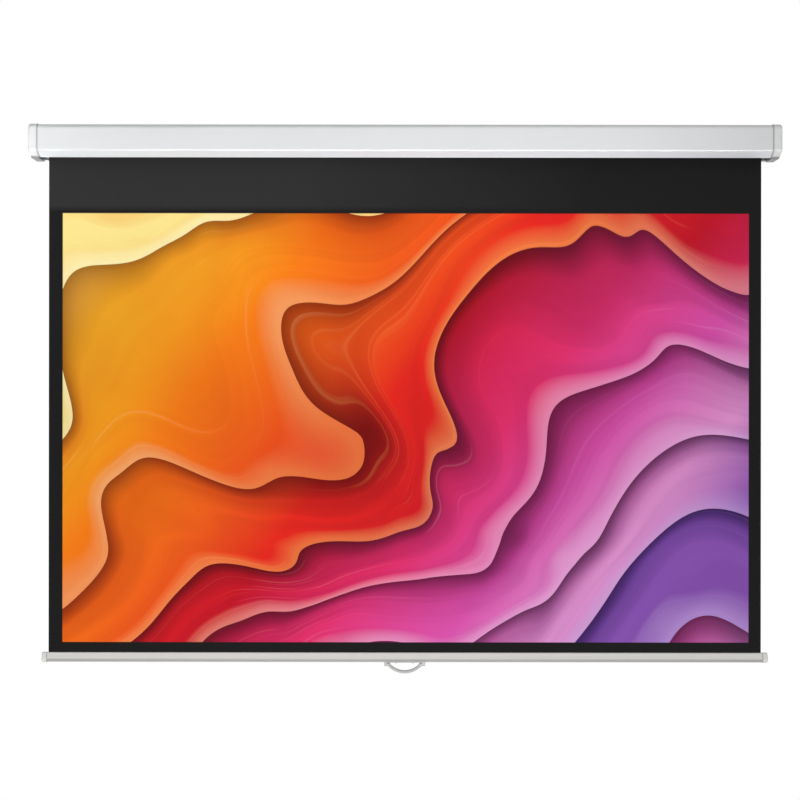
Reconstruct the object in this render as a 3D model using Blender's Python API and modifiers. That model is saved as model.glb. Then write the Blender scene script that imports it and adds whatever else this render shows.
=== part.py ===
"""Pull down projector screen on a spring roller, in a slim case for the wall.

Metres. +X runs to the viewer's right, +Y into the wall and +Z up. The origin is the
centre of the case's back, on the wall. The screen is pulled all the way down.
"""

import math

import bmesh
import bpy
from mathutils import Matrix, Vector

# Gap between pieces that touch, and running clearance round pins
CLEARANCE = 0.0003

# Picture and its black borders
PICTURE_WIDTH = 1.809
PICTURE_HEIGHT = 1.1307
SIDE_BORDER = 0.0345
TOP_BORDER = 0.1401
BOTTOM_BORDER = 0.0268
FABRIC_THICKNESS = 0.00045

# Case: an extruded section between two end caps
CASE_HEIGHT = 0.085
CASE_DEPTH = 0.080
CASE_WALL = 0.0015
CASE_BACK_RADIUS = 0.002
CASE_TOP_RADIUS = 0.014
RIDGE_DROP = 0.070
RIDGE_RADIUS = 0.006
STRIP_DEPTH = 0.030
STRIP_RADIUS = 0.0025
FRONT_LIP = 0.007
REAR_LIP = 0.010
PORT_BORE = 0.0023
PORT_WALL = 0.0014
PORT_WEB = 0.0015
PORT_INSET = 0.016
PORT_DROP = 0.011
REAR_PORT_INSET = 0.013
LOW_PORT_INSET = 0.0112
LOW_PORT_RISE = 0.009

# End caps
CAP_WIDTH = 0.0235
CAP_PROUD = 0.0015
CAP_WALL = 0.0025
CAP_EDGE = 0.0055
CAP_RIDGE_RADIUS = 0.012
SPIGOT_LENGTH = 0.012
SPIGOT_WALL = 0.0015
BOSS_WALL = 0.0012

# Cap screws
SCREW_RADIUS = 0.002
SCREW_HEAD_RADIUS = 0.004
SCREW_HEAD_HEIGHT = 0.0024
SCREW_SINK = 0.003
SCREW_GRIP = 0.0155
SCREW_SOCKET = 0.0013

# Steel brackets that carry the roller and hang on the wall
BRACKET_THICKNESS = 0.002
FLANGE_WIDTH = 0.018
FLANGE_HEIGHT = 0.052
KEYHOLE_HEAD = 0.0045
KEYHOLE_NECK = 0.0025
KEYHOLE_RISE = 0.009
KEYHOLE_Z = 0.004

# Roller
AXIS_Y = -0.0405
AXIS_Z = 0.002
TUBE_RADIUS = 0.019
TUBE_WALL = 0.0012
TUBE_OVERHANG = 0.005
BEARING_ROOM = 0.0115
WRAPS_LEFT = 1.5
WRAP_PITCH = 0.0006
PLUG_DEPTH = 0.024
PLUG_LIP = 0.002
PLUG_LIP_STEP = 0.0005

# Idle end: a pin that runs in a bush
PIN_RADIUS = 0.004
PIN_GRIP = 0.019
PIN_REACH = 0.0045
BUSH_RADIUS = 0.007
BUSH_FLANGE = 0.0095
BUSH_FLANGE_THICKNESS = 0.0015
BUSH_TAIL = 0.0015
PLUG_BOSS_RADIUS = 0.008

# Spring end: still spindle, notched collar and two pawls that turn with the roller
SPINDLE_RADIUS = 0.003
SPINDLE_LENGTH = 0.272
TENON_THICKNESS = 0.0025
TENON_REACH = 0.003
CARRIER_BASE = 0.012
CARRIER_RIM = 0.001
CARRIER_HUB_LENGTH = 0.015
NOTCH_COUNT = 4
NOTCH_RIM = 0.009
NOTCH_FLOOR = 0.0066
NOTCH_STOP_ANGLE = 135.5
NOTCH_FLOOR_SPAN = 18.5
NOTCH_RAMP_SPAN = 25.0
COLLAR_HUB_RADIUS = 0.0055
COLLAR_HUB_LENGTH = 0.003
PAWL_THICKNESS = 0.005
PAWL_PIVOT = 0.0136
PAWL_LENGTH = 0.0085
PAWL_LEAN = 51.2
PAWL_HUB = 0.0024
PAWL_NOSE = 0.001
PAWL_PIN_RADIUS = 0.0012
PAWL_PIN_DEPTH = 0.004
PAWL_PIN_HEAD = 0.0021
PAWL_PIN_HEAD_HEIGHT = 0.0009

# Torsion spring
SPRING_RADIUS = 0.009
SPRING_WIRE = 0.002
SPRING_TURNS = 28
SPRING_POINTS = 8
ANCHOR_LENGTH = 0.015
ANCHOR_FLANGE = 0.0115
ANCHOR_FLANGE_THICKNESS = 0.003
ANCHOR_INSET = 0.016
GUIDE_THICKNESS = 0.012
GUIDE_OVERLAP = 0.010

# Bottom bar: a drop section, narrow at the top
BAR_OVERHANG = 0.0172
BAR_HEIGHT = 0.0255
BAR_BELLY = 0.0085
BAR_NECK = 0.004
BAR_WALL = 0.0016
BAR_CAP_WIDTH = 0.0145
BAR_CAP_PROUD = 0.0008
BAR_CAP_EDGE = 0.002
BAR_SPIGOT = 0.010
HEM_ROD = 0.0017
HEM_SLOT = 0.0013

# Pull handle: a bail that hangs from a saddle under the bar
SADDLE_THICKNESS = 0.0012
SADDLE_ARC = 62.0
SADDLE_HALF = 0.0543
EAR_WIDTH = 0.008
EAR_WALL = 0.0023
BAIL_RADIUS = 0.0044
BAIL_HALF = 0.0425
BAIL_SAG = 0.0192
BAIL_HUB = 0.007
BAIL_PIN = 0.0018
BAIL_PIN_REACH = 0.0072
SADDLE_SCREW_X = 0.022
SADDLE_SCREW_RADIUS = 0.0015
SADDLE_SCREW_HEAD = 0.0029
SADDLE_SCREW_HEAD_HEIGHT = 0.0014
SADDLE_SCREW_GRIP = 0.008

# Sizes that follow
FABRIC_WIDTH = PICTURE_WIDTH + 2 * SIDE_BORDER
CASE_BOTTOM = -CASE_HEIGHT / 2
TUBE_END = FABRIC_WIDTH / 2 + TUBE_OVERHANG
MOUTH = TUBE_END + BEARING_ROOM
HOUSING_END = MOUTH - CLEARANCE
BRACKET_OUT = MOUTH + BRACKET_THICKNESS
CAP_FACE = MOUTH + CAP_WIDTH
CASE_LENGTH = 2 * CAP_FACE
TUBE_BORE = TUBE_RADIUS - TUBE_WALL
PLUG_RADIUS = TUBE_BORE - CLEARANCE
WRAP_START = TUBE_RADIUS + CLEARANCE
WRAP_END = WRAP_START + WRAPS_LEFT * WRAP_PITCH
FABRIC_Y = AXIS_Y + WRAP_END + FABRIC_THICKNESS / 2
BAR_TOP = CASE_BOTTOM - TOP_BORDER - PICTURE_HEIGHT - BOTTOM_BORDER
BAR_BOTTOM = BAR_TOP - BAR_HEIGHT
BELLY_Z = BAR_BOTTOM + BAR_BELLY
NECK_Z = BAR_TOP - BAR_NECK
BAR_END = FABRIC_WIDTH / 2 + BAR_OVERHANG - BAR_CAP_WIDTH
HEM_BORE = HEM_ROD + CLEARANCE
HEM_OUTER = HEM_BORE + FABRIC_THICKNESS
HEM_CHANNEL = HEM_OUTER + CLEARANCE
SADDLE_INNER = BAR_BELLY + CLEARANCE
SADDLE_OUTER = SADDLE_INNER + SADDLE_THICKNESS
PIVOT_Z = BELLY_Z - SADDLE_OUTER - CLEARANCE - BAIL_RADIUS
EAR_RADIUS = BAIL_PIN + CLEARANCE + EAR_WALL
EAR_IN = SADDLE_HALF - EAR_WIDTH
CARRIER_FACE = TUBE_END - PLUG_DEPTH + CARRIER_BASE
PAWL_X = CARRIER_FACE + CLEARANCE
SPRING_INNER = SPRING_RADIUS * math.cos(math.pi / SPRING_POINTS) - SPRING_WIRE / 2
SPRING_SEAT = SPRING_INNER - CLEARANCE
SPINDLE_IN = MOUTH - CLEARANCE - SPINDLE_LENGTH
ANCHOR_X = SPINDLE_IN + ANCHOR_INSET

# Centres of the screw ports: two under the case's top, one over its ridge
PORTS = {
    "top_front": (-CASE_DEPTH + PORT_INSET, -CASE_BOTTOM - PORT_DROP),
    "top_rear": (-REAR_PORT_INSET, -CASE_BOTTOM - PORT_DROP),
    "low_front": (-CASE_DEPTH + LOW_PORT_INSET, -CASE_BOTTOM - RIDGE_DROP + LOW_PORT_RISE),
}

# A drawing in the Y-Z plane, turned so that its depth runs along X
SECTION_TURN = (math.pi / 2, 0, math.pi / 2)
# A turned shape whose axis runs along X
LATHE_TURN = (0, math.pi / 2, 0)

FINISHES = {
    "case_paint": ((0.80, 0.81, 0.82), 0.42, 0.15),
    "cap_plastic": ((0.84, 0.84, 0.85), 0.45, 0.0),
    "bracket_steel": ((0.55, 0.56, 0.57), 0.38, 1.0),
    "screw_steel": ((0.62, 0.62, 0.60), 0.30, 1.0),
    "tube_steel": ((0.60, 0.61, 0.62), 0.35, 1.0),
    "plug_plastic": ((0.10, 0.10, 0.11), 0.50, 0.0),
    "spring_steel": ((0.33, 0.34, 0.36), 0.35, 1.0),
    "pawl_metal": ((0.66, 0.60, 0.42), 0.35, 1.0),
    "fabric": ((0.035, 0.034, 0.035), 0.85, 0.0),
    "bar_metal": ((0.76, 0.75, 0.71), 0.40, 0.3),
    "bar_plastic": ((0.83, 0.83, 0.80), 0.45, 0.0),
    "handle_plastic": ((0.70, 0.69, 0.67), 0.42, 0.0),
}


def clear_scene():
    """Empties the scene and makes the two collections: parts and cutters."""
    for item in list(bpy.data.objects):
        bpy.data.objects.remove(item, do_unlink=True)
    made = []
    for name in ("pull_down_projector_screen", "cutters"):
        collection = bpy.data.collections.new(name)
        bpy.context.scene.collection.children.link(collection)
        made.append(collection)
    return made


PARTS, CUTTERS = clear_scene()


def finish(name):
    """The material of that name, made on first use."""
    material = bpy.data.materials.get(name)
    if material:
        return material
    colour, roughness, metallic = FINISHES[name]
    material = bpy.data.materials.new(name)
    material.use_nodes = True
    shader = material.node_tree.nodes["Principled BSDF"]
    shader.inputs["Base Color"].default_value = (*colour, 1.0)
    shader.inputs["Roughness"].default_value = roughness
    shader.inputs["Metallic"].default_value = metallic
    return material


def pivot(name, place, parent=None):
    """An empty on a joint's axis, which carries the pieces that move about it."""
    empty = bpy.data.objects.new(name, None)
    PARTS.objects.link(empty)
    empty.empty_display_size = 0.02
    empty.parent = parent
    empty.location = place
    return empty


def as_object(name, mesh, turn=(0, 0, 0), place=(0, 0, 0)):
    """An object in the parts collection."""
    item = bpy.data.objects.new(name, mesh)
    PARTS.objects.link(item)
    item.rotation_euler = turn
    item.location = place
    return item


def dressed(item, material, parent=None, smooth=30.0):
    """Gives a piece its material, its parent and smooth shading up to an angle."""
    item.data.materials.clear()
    item.data.materials.append(finish(material))
    item.data.shade_smooth()
    item.data.set_sharp_from_angle(angle=math.radians(smooth))
    item.parent = parent
    return item


def tool(item):
    """Turns an object into a cutter or a shape that another piece is joined with."""
    PARTS.objects.unlink(item)
    CUTTERS.objects.link(item)
    item.hide_render = True
    item.display_type = "WIRE"
    return item


def combine(item, other, operation):
    """Cuts a tool out of a piece, or joins it on."""
    step = item.modifiers.new(f"{operation.lower()} {other.name}", "BOOLEAN")
    step.operation = operation
    step.solver = "EXACT"
    step.object = tool(other)
    return item


def mirrored(item, name):
    """A piece of the other side: the same shape, reflected in the middle plane."""
    graph = bpy.context.evaluated_depsgraph_get()
    mesh = bpy.data.meshes.new_from_object(item.evaluated_get(graph))
    mesh.transform(Matrix.Scale(-1, 4, (1, 0, 0)) @ item.matrix_world)
    mesh.flip_normals()
    return as_object(name, mesh)


def arc(centre, radius, start, end, steps):
    """Points on an arc, with its angles in degrees."""
    sweep = [math.radians(start + (end - start) * i / steps) for i in range(steps + 1)]
    return [
        (centre[0] + radius * math.cos(a), centre[1] + radius * math.sin(a)) for a in sweep
    ]


def rounded(corners, closed=True, steps=4):
    """Points of an outline whose (y, z, radius) corners are arcs."""
    points = []
    for i, (y, z, radius) in enumerate(corners):
        here = Vector((y, z))
        if not closed and i in (0, len(corners) - 1):
            points.append(here)
            continue
        before = (Vector(corners[i - 1][:2]) - here).normalized()
        after = (Vector(corners[(i + 1) % len(corners)][:2]) - here).normalized()
        half = before.angle(after) / 2
        centre = here + (before + after).normalized() * (radius / math.sin(half))
        first = here + before * (radius / math.tan(half)) - centre
        last = here + after * (radius / math.tan(half)) - centre
        swing = first.angle_signed(last)
        for k in range(steps + 1):
            points.append(centre + Matrix.Rotation(-swing * k / steps, 2) @ first)
    return [tuple(p) for p in points]


def inset(corners, distance):
    """Anticlockwise corners moved inwards, each with its radius less the distance."""
    moved = []
    for i, (y, z, radius) in enumerate(corners):
        here = Vector((y, z))
        before = (here - Vector(corners[i - 1][:2])).normalized()
        after = (Vector(corners[(i + 1) % len(corners)][:2]) - here).normalized()
        left, right = Vector((-before.y, before.x)), Vector((-after.y, after.x))
        here += (left + right) / (1 + left.dot(right)) * distance
        moved.append((here.x, here.y, max(radius - distance, 0.0006)))
    return moved


def drawn(name, outlines, low, high):
    """A flat drawing of one outline and its holes, made solid from one x to another."""
    curve = bpy.data.curves.new(name, "CURVE")
    curve.dimensions = "2D"
    curve.fill_mode = "BOTH"
    curve.extrude = (high - low) / 2
    for outline in outlines:
        spline = curve.splines.new("POLY")
        spline.points.add(len(outline) - 1)
        spline.use_cyclic_u = True
        for point, (y, z) in zip(spline.points, outline):
            point.co = (y, z, 0, 1)
    return made_mesh(name, curve, SECTION_TURN, ((high + low) / 2, 0, 0))


def made_mesh(name, curve, turn=(0, 0, 0), place=(0, 0, 0)):
    """A mesh object in place of a curve, with the curve's loose caps welded on."""
    item = as_object(name + "_curve", curve, turn, place)
    graph = bpy.context.evaluated_depsgraph_get()
    mesh = bpy.data.meshes.new_from_object(item.evaluated_get(graph))
    shape = bmesh.new()
    shape.from_mesh(mesh)
    bmesh.ops.remove_doubles(shape, verts=shape.verts, dist=0.000005)
    bmesh.ops.recalc_face_normals(shape, faces=shape.faces)
    shape.to_mesh(mesh)
    shape.free()
    bpy.data.objects.remove(item)
    bpy.data.curves.remove(curve)
    return as_object(name, mesh, turn, place)


def lofted(name, rings):
    """A solid through (x, outline) rings that have as many points each."""
    shape = bmesh.new()
    rows = [[shape.verts.new((x, y, z)) for y, z in outline] for x, outline in rings]
    for low, high in zip(rows, rows[1:]):
        for i in range(len(low)):
            shape.faces.new((low[i - 1], low[i], high[i], high[i - 1]))
    shape.faces.new(rows[0])
    shape.faces.new(rows[-1])
    bmesh.ops.recalc_face_normals(shape, faces=shape.faces)
    mesh = bpy.data.meshes.new(name)
    shape.to_mesh(mesh)
    shape.free()
    return as_object(name, mesh)


def prism(name, outline, low, high):
    """A solid outline from one x to another."""
    return lofted(name, [(low, outline), (high, outline)])


def eased(low, high, edge, steps):
    """The (x, inset) pairs of a prism whose edge at its high end is a quarter round."""
    turn = [math.pi / 2 * k / steps for k in range(steps + 1)]
    return [(low, 0.0)] + [
        (high - edge * (1 - math.sin(a)), edge * (1 - math.cos(a))) for a in turn
    ]


def turned(name, profile, steps=32, place=(0, 0, 0)):
    """A turned shape about X from (x, radius) points, closed at the axis or a ring."""
    ring = min(r for _, r in profile) > 0
    area = sum(
        a[1] * b[0] - b[1] * a[0] for a, b in zip(profile, profile[1:] + profile[:1])
    )
    points = profile if area < 0 else profile[::-1]
    shape = bmesh.new()
    verts = [shape.verts.new((r, 0, x)) for x, r in points]
    for a, b in zip(verts, verts[1:] + (verts[:1] if ring else [])):
        shape.edges.new((a, b))
    mesh = bpy.data.meshes.new(name)
    shape.to_mesh(mesh)
    shape.free()
    item = as_object(name, mesh, LATHE_TURN, place)
    screw = item.modifiers.new("turned", "SCREW")
    screw.axis = "Z"
    screw.steps = steps
    screw.render_steps = steps
    screw.use_merge_vertices = True
    screw.merge_threshold = 0.00001
    screw.use_normal_calculate = False
    screw.use_smooth_shade = True
    return item


def cylinder(name, low, high, radius, centre=(0, 0), steps=24):
    """A rod along X from one x to another, about a point of the Y-Z plane."""
    shape = bmesh.new()
    bmesh.ops.create_cone(
        shape, cap_ends=True, segments=steps, radius1=radius, radius2=radius,
        depth=high - low,
    )
    mesh = bpy.data.meshes.new(name)
    shape.to_mesh(mesh)
    shape.free()
    return as_object(name, mesh, LATHE_TURN, ((low + high) / 2, *centre))


def block(name, low, high):
    """A box between two corners."""
    shape = bmesh.new()
    size = Vector(high) - Vector(low)
    bmesh.ops.create_cube(shape, size=1.0, matrix=Matrix.Diagonal((*size, 1)))
    mesh = bpy.data.meshes.new(name)
    shape.to_mesh(mesh)
    shape.free()
    return as_object(name, mesh, place=(Vector(low) + Vector(high)) / 2)


def case_corners():
    """The case's outer outline, anticlockwise seen from +X, as if its slot were shut."""
    return [
        (0.0, CASE_BOTTOM, CASE_BACK_RADIUS),
        (0.0, -CASE_BOTTOM, CASE_BACK_RADIUS),
        (-CASE_DEPTH, -CASE_BOTTOM, CASE_TOP_RADIUS),
        (-CASE_DEPTH, -CASE_BOTTOM - RIDGE_DROP, RIDGE_RADIUS),
        (-CASE_DEPTH + STRIP_DEPTH, CASE_BOTTOM, STRIP_RADIUS),
    ]


def cap_corners():
    """The end cap's outline: proud of the case, flush at the wall, with a rounder ridge."""
    corners = inset(case_corners(), -CAP_PROUD)
    ridge_y, ridge_z, _ = corners[3]
    corners[3] = (ridge_y, ridge_z, CAP_RIDGE_RADIUS)
    return [(min(y, 0.0), z, radius) for y, z, radius in corners]


def port_web(name, low, high, gap=0.0):
    """The web from a screw port to the nearest case wall, or the slot that clears it."""
    y, z = PORTS[name]
    half = PORT_WEB / 2 + gap
    if z < 0:
        return block(
            f"web_{name}_{gap > 0}", (low, -CASE_DEPTH + CASE_WALL / 2, z - half),
            (high, y, z + half),
        )
    return block(
        f"web_{name}_{gap > 0}", (low, y - half, z),
        (high, y + half, -CASE_BOTTOM - CASE_WALL / 2),
    )


def case_housing():
    """The extruded case: an open section, made thick, with a screw port in three corners."""
    corners = case_corners()
    slot_front, slot_rear = corners[-1], corners[0]
    path = [(slot_rear[0] - REAR_LIP, CASE_BOTTOM, 0)] + corners
    path.append((slot_front[0], CASE_BOTTOM + FRONT_LIP, 0))
    shape = bmesh.new()
    verts = [shape.verts.new((-HOUSING_END, y, z)) for y, z in rounded(path, closed=False)]
    edges = [shape.edges.new(pair) for pair in zip(verts, verts[1:])]
    grown = bmesh.ops.extrude_edge_only(shape, edges=edges)["geom"]
    moved = [v for v in grown if isinstance(v, bmesh.types.BMVert)]
    bmesh.ops.translate(shape, verts=moved, vec=(2 * HOUSING_END, 0, 0))
    mesh = bpy.data.meshes.new("case_housing")
    shape.to_mesh(mesh)
    shape.free()
    item = as_object("case_housing", mesh)
    wall = item.modifiers.new("wall", "SOLIDIFY")
    wall.thickness = CASE_WALL
    wall.offset = 1.0
    wall.use_even_offset = True
    for name, (y, z) in PORTS.items():
        outer = PORT_BORE + PORT_WALL
        port = cylinder(f"port_{name}", -HOUSING_END, HOUSING_END, outer, (y, z), 16)
        combine(item, port, "UNION")
        combine(item, port_web(name, -HOUSING_END, HOUSING_END), "UNION")
        bore = cylinder(f"bore_{name}", -CASE_LENGTH, CASE_LENGTH, PORT_BORE, (y, z), 12)
        combine(item, bore, "DIFFERENCE")
    return dressed(item, "case_paint")


def end_cap():
    """The right end cap: a moulded shell with a spigot, three bosses and a wall window."""
    rings = [
        (x, rounded(inset(cap_corners(), depth)))
        for x, depth in eased(MOUTH, CAP_FACE, CAP_EDGE, 4)
    ]
    item = lofted("right_end_cap", rings)
    seat = CASE_WALL + CLEARANCE
    mouth = rounded(inset(case_corners(), seat + SPIGOT_WALL))
    cavity = rounded(inset(cap_corners(), CAP_WALL))
    floor = CAP_FACE - CAP_WALL
    hollow = prism("cap_hollow", cavity, BRACKET_OUT, floor)
    combine(item, hollow, "DIFFERENCE")
    spigot = prism(
        "cap_spigot", rounded(inset(case_corners(), seat)), MOUTH - SPIGOT_LENGTH,
        MOUTH + BRACKET_THICKNESS / 2,
    )
    combine(item, spigot, "UNION")
    throat = prism("cap_throat", mouth, MOUTH - CAP_WIDTH, floor - CAP_WALL)
    combine(item, throat, "DIFFERENCE")
    slot_front = -CASE_DEPTH + STRIP_DEPTH
    lips = block(
        "lip_slot",
        (MOUTH - CAP_WIDTH, slot_front - CASE_WALL - STRIP_RADIUS, -CASE_HEIGHT),
        (MOUTH - CLEARANCE, -REAR_LIP, CASE_BOTTOM + FRONT_LIP + CLEARANCE),
    )
    combine(item, lips, "DIFFERENCE")
    boss_end = BRACKET_OUT + CLEARANCE
    sink = CAP_FACE - SCREW_SINK
    for name, place in PORTS.items():
        slot = port_web(name, MOUTH - CAP_WIDTH, MOUTH - CLEARANCE, CLEARANCE)
        combine(item, slot, "DIFFERENCE")
        recess = SCREW_HEAD_RADIUS + CLEARANCE
        outer = recess + BOSS_WALL
        boss = cylinder(f"boss_{name}", boss_end, CAP_FACE - CAP_WALL / 2, outer, place)
        combine(item, boss, "UNION")
        pocket = cylinder(f"recess_{name}", sink, CASE_LENGTH, recess, place)
        combine(item, pocket, "DIFFERENCE")
        hole = SCREW_RADIUS + CLEARANCE
        combine(item, cylinder(f"hole_{name}", 0, CASE_LENGTH, hole, place, 16), "DIFFERENCE")
    window = block(
        "flange_window",
        (MOUTH - CLEARANCE, -CAP_WALL - SPIGOT_WALL - seat, -FLANGE_HEIGHT / 2 - CLEARANCE),
        (MOUTH + FLANGE_WIDTH + CLEARANCE, CAP_WALL, FLANGE_HEIGHT / 2 + CLEARANCE),
    )
    combine(item, window, "DIFFERENCE")
    return dressed(item, "cap_plastic")


def keyhole():
    """The hanging slot of a bracket flange, in its own plane: a round hole and a neck."""
    neck = math.degrees(math.asin(KEYHOLE_NECK / KEYHOLE_HEAD))
    outline = arc((0, 0), KEYHOLE_HEAD, 90 + neck, 450 - neck, 16)
    return outline + arc((0, KEYHOLE_RISE), KEYHOLE_NECK, 0, 180, 8)


def bracket(name, hub):
    """A right-hand bracket: a side plate, bent at its back to a flange for the wall."""
    reach = CASE_WALL + SPIGOT_WALL + 2 * CLEARANCE
    item = prism(name, rounded(inset(case_corners(), reach)), MOUTH, BRACKET_OUT)
    half = FLANGE_HEIGHT / 2
    neck = block(f"{name}_neck", (MOUTH, -reach * 2, -half), (BRACKET_OUT, 0, half))
    combine(item, neck, "UNION")
    flange = block(
        f"{name}_flange", (MOUTH, -BRACKET_THICKNESS, -half), (MOUTH + FLANGE_WIDTH, 0, half)
    )
    combine(item, flange, "UNION")
    slot = drawn(f"{name}_keyhole", [keyhole()], -CASE_DEPTH / 4, CASE_DEPTH / 4)
    slot.rotation_euler = (math.pi / 2, 0, 0)
    slot.location = (MOUTH + (BRACKET_THICKNESS + FLANGE_WIDTH) / 2, 0, KEYHOLE_Z)
    combine(item, slot, "DIFFERENCE")
    for port, place in PORTS.items():
        radius = SCREW_RADIUS + CLEARANCE
        hole = cylinder(f"{name}_{port}", 0, CASE_LENGTH, radius, place, 16)
        combine(item, hole, "DIFFERENCE")
    combine(item, hub, "DIFFERENCE")
    return dressed(item, "bracket_steel")


def brackets():
    """Both brackets: the right one holds the spindle's flat end, the left one the bush."""
    half_y = TENON_THICKNESS / 2 + CLEARANCE
    half_z = SPINDLE_RADIUS + CLEARANCE
    slot = block(
        "tenon_slot", (MOUTH - CAP_WIDTH, AXIS_Y - half_y, AXIS_Z - half_z),
        (CASE_LENGTH, AXIS_Y + half_y, AXIS_Z + half_z),
    )
    bracket("right_bracket", slot)
    seat = cylinder(
        "bush_seat", MOUTH - CAP_WIDTH, CASE_LENGTH, BUSH_RADIUS + CLEARANCE, (AXIS_Y, AXIS_Z)
    )
    pattern = bracket("left_bracket_pattern", seat)
    dressed(mirrored(pattern, "left_bracket"), "bracket_steel")
    tool(pattern)


def screw_profile(seat, radius, head, height, grip, socket):
    """A pan head screw's (x, radius) points, its head outside x = seat, with a socket."""
    return [
        (seat + height * 0.45, 0.0),
        (seat + height * 0.45, socket),
        (seat + height, socket),
        (seat + height, head * 0.62),
        (seat + height * 0.8, head * 0.88),
        (seat + height * 0.4, head),
        (seat, head),
        (seat, radius),
        (seat - grip + radius, radius),
        (seat - grip, radius * 0.4),
        (seat - grip, 0.0),
    ]


def cap_screws():
    """Three screws a side, through cap and bracket into the ports."""
    seat = CAP_FACE - SCREW_SINK + CLEARANCE
    grip = seat - MOUTH + SCREW_GRIP
    for name, place in PORTS.items():
        profile = screw_profile(
            seat, SCREW_RADIUS, SCREW_HEAD_RADIUS, SCREW_HEAD_HEIGHT, grip, SCREW_SOCKET
        )
        item = turned(f"right_screw_{name}", profile, 12, (0, *place))
        dressed(item, "screw_steel")
        bpy.context.view_layer.update()
        dressed(mirrored(item, f"left_screw_{name}"), "screw_steel")


def idle_end(roller):
    """The left end of the roller: a plug with its pin, and the bush that the pin runs in."""
    lip = TUBE_END + CLEARANCE
    bush_in = MOUTH - CLEARANCE - BUSH_FLANGE_THICKNESS
    bore = PIN_RADIUS + CLEARANCE
    pin_in = TUBE_END - PIN_GRIP
    plug = [
        (TUBE_END - PLUG_DEPTH, bore),
        (TUBE_END - PLUG_DEPTH, PLUG_RADIUS - PLUG_LIP_STEP),
        (TUBE_END - PLUG_DEPTH + PLUG_LIP_STEP, PLUG_RADIUS),
        (lip, PLUG_RADIUS),
        (lip, TUBE_RADIUS - PLUG_LIP_STEP),
        (lip + PLUG_LIP, TUBE_RADIUS - PLUG_LIP_STEP),
        (lip + PLUG_LIP, PLUG_BOSS_RADIUS),
        (bush_in - CLEARANCE, PLUG_BOSS_RADIUS),
        (bush_in - CLEARANCE, bore),
    ]
    tip = BRACKET_OUT + PIN_REACH
    pin = [
        (pin_in, 0.0),
        (pin_in, PIN_RADIUS),
        (tip - PLUG_LIP_STEP, PIN_RADIUS),
        (tip, PIN_RADIUS - PLUG_LIP_STEP),
        (tip, 0.0),
    ]
    bush = [
        (bush_in, bore),
        (bush_in, BUSH_FLANGE),
        (bush_in + BUSH_FLANGE_THICKNESS, BUSH_FLANGE),
        (bush_in + BUSH_FLANGE_THICKNESS, BUSH_RADIUS),
        (BRACKET_OUT + BUSH_TAIL, BUSH_RADIUS),
        (BRACKET_OUT + BUSH_TAIL, bore),
    ]
    for name, profile, material, steps, parent in (
        ("idle_plug", plug, "plug_plastic", 32, roller),
        ("idle_pin", pin, "screw_steel", 24, roller),
        ("idle_bush", bush, "plug_plastic", 24, None),
    ):
        pattern = turned(f"{name}_pattern", profile, steps)
        if not parent:
            pattern.location = (0, AXIS_Y, AXIS_Z)
        bpy.context.view_layer.update()
        dressed(mirrored(pattern, name), material, parent)
        bpy.data.objects.remove(pattern)


def roller_tube(roller):
    """The steel tube that the fabric winds on."""
    profile = [
        (-TUBE_END, TUBE_BORE), (-TUBE_END, TUBE_RADIUS),
        (TUBE_END, TUBE_RADIUS), (TUBE_END, TUBE_BORE),
    ]
    return dressed(turned("roller_tube", profile, 32), "tube_steel", roller)


def fabric_roll(roller):
    """The turns of fabric that stay on the tube, ending where the screen hangs off it."""
    steps = 24
    count = round(WRAPS_LEFT * steps)
    outer, inner = [], []
    for i in range(count + 1):
        angle = 2 * math.pi * (count - i) / steps
        radius = WRAP_START + WRAP_PITCH * i / steps
        for side, extra in ((inner, 0.0), (outer, FABRIC_THICKNESS)):
            side.append(((radius + extra) * math.cos(angle), (radius + extra) * math.sin(angle)))
    item = drawn("fabric_roll", [outer + inner[::-1]], -FABRIC_WIDTH / 2, FABRIC_WIDTH / 2)
    return dressed(item, "fabric", roller)


def carrier(roller):
    """The plug of the spring end: a cup for the pawls, and a hub that grips the spring."""
    start = TUBE_END - PLUG_DEPTH
    bore = SPINDLE_RADIUS + CLEARANCE
    lip = TUBE_END + CLEARANCE
    profile = [
        (start - CARRIER_HUB_LENGTH, bore),
        (start - CARRIER_HUB_LENGTH, SPRING_SEAT),
        (start, SPRING_SEAT),
        (start, PLUG_RADIUS),
        (lip, PLUG_RADIUS),
        (lip, TUBE_RADIUS - PLUG_LIP_STEP),
        (lip + PLUG_LIP, TUBE_RADIUS - PLUG_LIP_STEP),
        (lip + PLUG_LIP, PLUG_RADIUS - CARRIER_RIM),
        (CARRIER_FACE, PLUG_RADIUS - CARRIER_RIM),
        (CARRIER_FACE, bore),
    ]
    item = turned("pawl_carrier", profile, 32)
    for name, turn in (("a", 1), ("b", -1)):
        hole = cylinder(
            f"pawl_seat_{name}", CARRIER_FACE - PAWL_PIN_DEPTH - CLEARANCE, CASE_LENGTH,
            PAWL_PIN_RADIUS + CLEARANCE, (0, turn * PAWL_PIVOT), 16,
        )
        hole.parent = roller
        combine(item, hole, "DIFFERENCE")
    return dressed(item, "plug_plastic", roller)


def ratchet_outline():
    """The notched collar: in each notch a ramp, a floor and a radial stop face."""
    points = []
    pitch = 360 / NOTCH_COUNT
    for k in range(NOTCH_COUNT):
        stop = NOTCH_STOP_ANGLE + k * pitch
        floor = stop - NOTCH_FLOOR_SPAN
        ramp = floor - NOTCH_RAMP_SPAN
        points += arc((0, 0), NOTCH_RIM, stop - pitch, ramp, 6)
        points += arc((0, 0), NOTCH_FLOOR, floor, stop, 2)
    return points


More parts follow.
